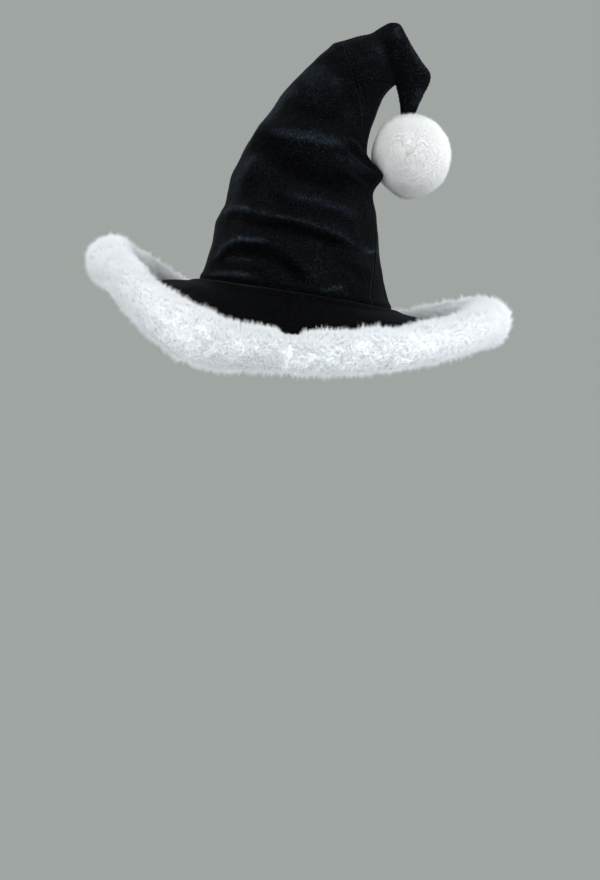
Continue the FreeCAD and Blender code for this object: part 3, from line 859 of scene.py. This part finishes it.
def build_brim(finish):
    """The brim's cloth above and below, the stiffener between them, and the wire in the edge."""
    top = ring_sheet("brim_upper_velvet", TOP_START, BRIM_WIDTH, 0, finish["velvet"], BRIM_WALL)
    place_piece(top, BODY_HAT, "velvet", "brim_top_velvet")
    stiff = ring_sheet("brim_buckram", STIFF_START, STIFF_STOP, 1.5, finish["felt"], 1.4, steps=12)
    place_piece(stiff, BODY_HAT, "stiffener", "brim_stiffener")
    under = ring_sheet("brim_lower_velvet", UNDER_START, BRIM_WIDTH, 3.4, finish["velvet"], BRIM_WALL)
    place_piece(under, BODY_HAT, "velvet", "brim_underside_velvet")
    # the wire: a circle carried round the brim, just inside its edge
    turns, sides = 240, 8
    angle = np.linspace(0, 360, turns, endpoint=False)
    around = np.arange(sides) / sides * 2 * math.pi
    angle, around = np.meshgrid(angle, around, indexing="ij")
    out = BRIM_WIDTH - 3.0 + WIRE_RADIUS * np.cos(around)
    points = brim_place(angle, out, -2.3 + WIRE_RADIUS * np.sin(around))
    wire = make_piece("edge_wire", points, grid_faces(turns, sides, True, True), finish["steel"])
    place_piece(wire, BODY_HAT, "wire", "brim_edge_wire")


# ---------------------------------------------------------------- fur
ROLL_OUT = 91.0
ROLL_HALF_WIDTH = 22.0
ROLL_HALF_HEIGHT = 21.0
JOIN_ANGLE = 271.5
JOIN_DEPTH = 8.0
TRIM_PIECES, TRIM_HAIRS, TRIM_TUFTS = 6, 44000, 2000
POMPOM_PIECES, POMPOM_HAIRS, POMPOM_TUFTS = 2, 41000, 2600
ROOT_DEPTH = 1.0

# Where the roll has been pushed about: the angle and its spread in degrees, then how far outwards,
# upwards and thicker.
ROLL_SHIFTS = (
    (176, 12, 2.5, 4.0, -1.0),
    (203, 14, -7.5, 1.5, -3.2),
    (239, 15, 1.0, -5.0, 4.5),
    (333, 17, 0.0, 2.5, -3.5),
    (2, 12, 3.0, 0.0, 0.0),
)


def roll_place(angle, around, swell):
    """A point on the fur roll: an ellipse round the roll's centre line, in the brim's slope.

    Each shift fades as a bell, exp(-(d / spread) ** 2), with d the angle from its middle.
    """
    out = ROLL_OUT + (ROLL_HALF_WIDTH + swell) * np.cos(around)
    up = (ROLL_HALF_HEIGHT + swell) * np.sin(around) - 1.5
    for middle, spread, outwards, upwards, thicker in ROLL_SHIFTS:
        share = np.exp(-((degrees_from(angle, middle) / spread) ** 2))
        out = out + share * (outwards + thicker * np.cos(around))
        up = up + share * (upwards + thicker * np.sin(around))
    return brim_place(angle, out, up)


def degrees_from(angle, middle):
    """How far an angle is past the middle one, from -180 to 180."""
    return np.mod(angle - middle + 180, 360) - 180


def roll_swell(angle, around):
    """Lumps of the roll, thinner at the front, and sunk on the crown's side where the trim's ends meet."""
    base = roll_place(angle, around, 0.0)
    lumps = smooth_noise(base, 26, 41) * 1.3 + smooth_noise(base, 11, 42) * 0.5
    thin = 4.6 * np.exp(-((degrees_from(angle, 270) / 52) ** 2))
    inward = ease(-0.2, 0.9, 0.6 * np.sin(around) - 0.8 * np.cos(around))
    return lumps - thin - JOIN_DEPTH * np.exp(-((degrees_from(angle, JOIN_ANGLE) / 3.2) ** 2)) * inward


def spikes(roots, tips, radius, tone):
    """Closed three-sided tapered hairs.

    Each has a ring of three points round its root, r (side cos a + other sin a) with a in thirds of a turn,
    and a point at its tip.
    """
    start = unit_rows(tips - roots)
    side = unit_rows(np.cross(start, np.array([0.31, 0.52, 0.79])))
    other = np.cross(start, side)
    points = np.empty((len(roots), 4, 3))
    for k in range(3):
        a = 2 * math.pi * k / 3
        points[:, k] = roots + (side * math.cos(a) + other * math.sin(a)) * radius[:, None]
    points[:, 3] = tips
    triangles = np.array([(0, 2, 1), (0, 1, 3), (1, 2, 3), (2, 0, 3)])
    faces = triangles[None] + (np.arange(len(roots)) * 4)[:, None, None]
    along = np.tile([0, 0, 0, 1.0], len(roots))
    return points.reshape(-1, 3), faces.reshape(-1, 3), {"along": along, "tone": np.repeat(tone, 4)}


def tufted(roots, directions, length, tufts, pull, rng):
    """The tips of hairs whose ends lean together in tufts.

    Some hairs lead. Every other hair's tip moves part of the way to the tip of its nearest leader, and is
    shorter the further its root is from that leader's: length * (1.1 - 0.3 d / (d + 2 mm)).
    """
    lead = rng.choice(len(roots), tufts, replace=False)
    nearest = np.empty(len(roots), int)
    for start in range(0, len(roots), 2000):
        block = roots[start : start + 2000]
        gap = (block**2).sum(1)[:, None] - 2 * block @ roots[lead].T + (roots[lead] ** 2).sum(1)[None]
        nearest[start : start + 2000] = np.argmin(gap, axis=1)
    away = np.linalg.norm(roots - roots[lead][nearest], axis=1)
    length = length * (1.1 - 0.3 * away / (away + 2.0)) * rng.uniform(0.88, 1.12, tufts)[nearest]
    goal = (roots + directions * length[:, None])[lead][nearest]
    tips = roots + directions * length[:, None]
    pull = (pull * rng.uniform(0.6, 1.0, len(roots)))[:, None]
    return tips + (goal - tips) * pull


def fur_body(name, points, sides, finish, wrap_rows):
    """The padded body under the hairs, in the tone of their roots."""
    rings = len(points)
    values = {"along": np.full(rings * sides, 0.25), "tone": np.full(rings * sides, 0.3)}
    return make_piece(name, points, grid_faces(rings, sides, True, wrap_rows), finish, values)


def fur_hairs(name, roots, tips, radii, finish, rng):
    """One piece of the pile, with a radius and a tone for each hair."""
    radius = rng.uniform(*radii, len(roots))
    points, faces, values = spikes(roots, tips, radius, rng.uniform(0, 1, len(roots)))
    return make_piece(name, points, faces, finish, values)


def build_trim_fur(finish):
    """The fur roll round the brim's edge, and its hairs in sectors.

    A hair stands out from the roll, swayed by noise, combed over away from the crown, and parted where the
    trim's ends meet. A third of them are longer guard hairs, which lean together more.
    """
    turns, sides = 420, 40
    angle = np.linspace(0, 360, turns, endpoint=False)
    around = np.linspace(0, 2 * math.pi, sides, endpoint=False)
    angle, around = np.meshgrid(angle, around, indexing="ij")
    points = roll_place(angle, around, roll_swell(angle, around))
    body = fur_body("fur_roll", points, sides, finish["fur"], True)
    place_piece(body, BODY_HAT, "fur", "fur_trim_pile")
    rng = np.random.default_rng(52)
    for sector in range(TRIM_PIECES):
        low = 360 * sector / TRIM_PIECES
        angle = low + rng.uniform(0, 360 / TRIM_PIECES, TRIM_HAIRS)
        around = rng.uniform(0, 2 * math.pi, TRIM_HAIRS)
        swell = roll_swell(angle, around)
        roots = roll_place(angle, around, swell - ROOT_DEPTH)
        outward = unit_rows(roll_place(angle, around, swell + 4.0) - roots)
        along_roll = unit_rows(roll_place(angle + 0.5, around, 0.0) - roll_place(angle - 0.5, around, 0.0))
        away = degrees_from(angle, JOIN_ANGLE)
        part = 0.5 * np.sign(away) * np.exp(-((np.abs(away) / 4.0) ** 1.5))
        sway = vector_noise(roots, 9.0, 61) * 0.30 + vector_noise(roots, 26.0, 71) * 0.30
        stray = rng.normal(0, 0.16, (TRIM_HAIRS, 3))
        over = unit_rows(roll_place(angle, around + 0.05, swell) - roll_place(angle, around, swell))
        comb = np.tanh(1.3 * np.sin(around / 2 + 0.12) * np.cos(around / 2)) * 0.75
        lie = unit_rows(outward + sway + stray + over * comb[:, None] + along_roll * part[:, None])
        guard = rng.uniform(0, 1, TRIM_HAIRS) < 0.35
        length = 6.4 + 3.4 * guard + rng.normal(0, 0.7, TRIM_HAIRS) + smooth_noise(roots, 9.0, 81) * 0.8
        length = np.clip(length, 4.0, 11.5)
        tips = tufted(roots, lie, length, TRIM_TUFTS, np.where(guard, 0.65, 0.2), rng)
        hairs = fur_hairs(f"fur_hairs_{sector + 1}", roots, tips, (0.12, 0.2), finish["fur"], rng)
        place_piece(hairs, BODY_HAT, "fur")


# The folded backing's section, as distances out along the brim and up from it: its face, then its inside.
BACKING_OUTER = [(70.5, 1.2), (86, 1.6), (101, 1.2), (104, -2.0), (101, -5.6), (86, -6.0), (70.5, -5.6)]
BACKING_INNER = [(70.5, -5.2), (86, -5.3), (100.5, -5.0), (102.6, -2.0), (100.5, 0.7), (86, 1.0), (70.5, 0.7)]
TRIM_SEAM_OUT = 69.5


def build_trim_backing(finish):
    """The folded knit that grips the brim's edge, its section carried round the brim, and its stitches."""
    section = np.array(BACKING_OUTER + BACKING_INNER)
    turns = 240
    angle = np.linspace(0, 360, turns, endpoint=False)[:, None] * np.ones((1, len(section)))
    out = np.ones((turns, 1)) * section[None, :, 0]
    up = np.ones((turns, 1)) * section[None, :, 1]
    faces = grid_faces(turns, len(section), True, True)[:, ::-1]
    backing = make_piece("trim_backing", brim_place(angle, out, up), faces, finish["knit"])
    place_piece(backing, BODY_HAT, "knit", "fur_trim_backing")
    angle = np.linspace(0, 360, 721)
    out = np.full_like(angle, TRIM_SEAM_OUT)
    parts = []
    for up, way in ((1.0, 1), (-5.9, -1)):
        path = brim_place(angle, out, up)
        outward = way * unit_rows(brim_place(angle, out, up + 4) - path)
        parts.append(stitch_points(path, outward, 6.0, 3.4, 0.35))
    stitches = make_piece("trim_stitching", *join_parts(parts), finish["white_thread"])
    place_piece(stitches, BODY_HAT, "white_thread", "trim_stitches")


POMPOM_CENTRE = np.array([88.2, 0.0, 157.4])
POMPOM_BODY = 37.0
POMPOM_PIVOT = np.array([78.18, 0.0, 196.03])
# Directions in which the crown's cloth presses the pompom's pile flat, at rest and as it swings.
POMPOM_PRESSED = unit_rows(
    np.array([(-23.2, -16.0, -26.4), (-23.2, 2.0, -27.0), (-23.2, 18.6, -25.7), (-42.0, 0.0, 3.0)])
)


def pompom_radius(directions, up):
    """The body's radius in each direction: round, with lumps, and with a dimple where the tie goes in."""
    lumps = smooth_noise(directions * 31, 13, 91) * 0.9 + smooth_noise(directions * 31, 30, 92) * 0.8
    return POMPOM_BODY + lumps - 3.0 * np.exp(-(((1 - directions @ up) / 0.03) ** 2))


def build_pompom(finish):
    """The pompom: a lumpy round body, and hairs that stand out from it in two halves.

    They are longer round the tie and shorter where the cloth presses on them.
    """
    rings, sides = 64, 96
    polar = np.linspace(0, math.pi, rings)
    turn = np.linspace(0, 2 * math.pi, sides, endpoint=False)
    polar, turn = np.meshgrid(polar, turn, indexing="ij")
    ball = np.stack([np.sin(polar) * np.cos(turn), np.sin(polar) * np.sin(turn), np.cos(polar)], axis=-1)
    up = unit_rows(POMPOM_PIVOT - POMPOM_CENTRE)
    points = POMPOM_CENTRE + ball * pompom_radius(ball, up)[..., None]
    points[0], points[-1] = points[0].mean(axis=0), points[-1].mean(axis=0)
    body = fur_body("pompom_body", points, sides, finish["pompom_fur"], False)
    place_piece(body, BODY_POMPOM, "pompom_fur", "pompom_fur", "pompom_knit", "pompom_stuffing")
    rng = np.random.default_rng(101)
    for half in range(POMPOM_PIECES):
        directions = unit_rows(rng.normal(0, 1, (POMPOM_HAIRS, 3)))
        directions[:, 1] = np.abs(directions[:, 1]) * (1 if half else -1)
        roots = POMPOM_CENTRE + directions * (pompom_radius(directions, up) - ROOT_DEPTH)[:, None]
        sway = vector_noise(roots, 7.0, 111) * 0.08 + vector_noise(roots, 18.0, 121) * 0.12
        stray = rng.normal(0, 0.10, (POMPOM_HAIRS, 3))
        lie = unit_rows(directions + sway + stray + np.array([0, 0, -0.06]))
        length = np.clip(6.0 + rng.normal(0, 0.45, POMPOM_HAIRS), 4, 8)
        length += 3.0 * np.exp(-(((1 - directions @ up) / 0.05) ** 2))
        length *= 1 - 0.4 * ease(0.74, 1.0, (directions @ POMPOM_PRESSED.T).max(axis=1))
        tips = tufted(roots, lie, length, POMPOM_TUFTS, np.full(POMPOM_HAIRS, 0.2), rng)
        hairs = fur_hairs(f"pompom_hairs_{half + 1}", roots, tips, (0.1, 0.16), finish["pompom_fur"], rng)
        place_piece(hairs, BODY_POMPOM, "pompom_fur")


# ---------------------------------------------------------------- inside the opening
RIBBON_ROWS = 15
RIBBON_DEPTH = 3.2
RIBBON_WALL = 0.8
RIBS_PER_COLUMN = 4.0


def build_band(finish, points, normals):
    """The ribbed ribbon inside the crown's foot, a strip of the crown's grid moved inwards, and its seam."""
    rows = np.arange(RIBBON_ROWS)
    inner = points[rows] - normals[rows] * RIBBON_DEPTH
    count = inner.shape[1]
    columns = np.arange(count + 1) % count
    rib = np.tile(np.arange(count + 1) * RIBS_PER_COLUMN, len(rows))
    faces = grid_faces(len(rows), count + 1)[:, ::-1]
    piece = make_piece("sweat_ribbon", inner[:, columns], faces, finish["ribbon"], {"rib": rib})
    thicken(piece, RIBBON_WALL)
    place_piece(piece, BODY_HAT, "sweatband", "sweatband")
    path = (points[2] - normals[2] * (RIBBON_DEPTH + 0.9))[columns]
    sewing = stitch_points(path, -normals[2][columns], 5.0, 3.2, 0.3)
    stitches = make_piece("ribbon_stitching", *sewing, finish["dark_thread"])
    place_piece(stitches, BODY_HAT, "dark_thread", "sweatband_stitches")


def dress_cad(finish):
    """White thread for the CAD pieces that stay, the pompom's tie and knot."""
    for node in ("pompom_tie", "pompom_knot"):
        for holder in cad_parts[node].material_slots:
            holder.material = finish["white_thread"]


def build_studio():
    """A pale round studio that the camera alone sees, its profile turned round, with soft boxes."""
    matt = {"Base Color": rgb(0.305, 0.318, 0.300), "Roughness": 1.0, "Specular IOR Level": 0.0}
    material = finish_material("backdrop", dict, matt)
    radius, floor, bend, sides = 9000.0, -2400.0, 3500.0, 96
    arc = np.linspace(-math.pi / 2, 0, 16)
    profile = [(0.0, floor), (2500.0, floor)]
    profile += [(radius - bend + bend * math.cos(a), floor + bend + bend * math.sin(a)) for a in arc]
    out, up = np.array(profile + [(radius, 9000.0)]).T[:, :, None]
    turn = np.linspace(0, 2 * math.pi, sides, endpoint=False)
    points = np.stack([out * np.cos(turn), out * np.sin(turn), up + 0 * turn], axis=-1)
    studio = make_piece("studio", points, grid_faces(len(points), sides, wrap_columns=True), material)
    for ray in ("diffuse", "glossy", "transmission", "shadow"):
        setattr(studio, f"visible_{ray}", False)
    world = bpy.data.worlds.new("surround")
    world.use_nodes = True
    surround = world.node_tree.nodes["Background"]
    surround.inputs["Color"].default_value = rgb(0.95, 0.98, 1.0)
    surround.inputs["Strength"].default_value = 1.18
    bpy.context.scene.world = world
    make_light("key", (-1.5, -2.0, 1.9), (0, 0, 0.08), 2.2, 17, (1.0, 0.99, 0.97))
    make_light("side", (-2.3, 0.6, 1.2), (0, 0, 0.1), 1.6, 5, (0.86, 0.93, 1.0))
    make_light("fill", (1.7, -1.8, 0.6), (0, 0, 0.05), 2.0, 34, (0.93, 0.97, 1.0))
    make_light("top", (0.1, 0.6, 2.4), (0, 0, 0), 2.4, 16, (0.95, 0.98, 1.0))
    bpy.context.scene.view_settings.view_transform = "Standard"


make_camera()
build_studio()
FINISH = make_materials()
crown_points, crown_normals = build_crown(FINISH)
build_brim(FINISH)
build_trim_fur(FINISH)
build_trim_backing(FINISH)
build_pompom(FINISH)
build_band(FINISH, crown_points, crown_normals)
dress_cad(FINISH)
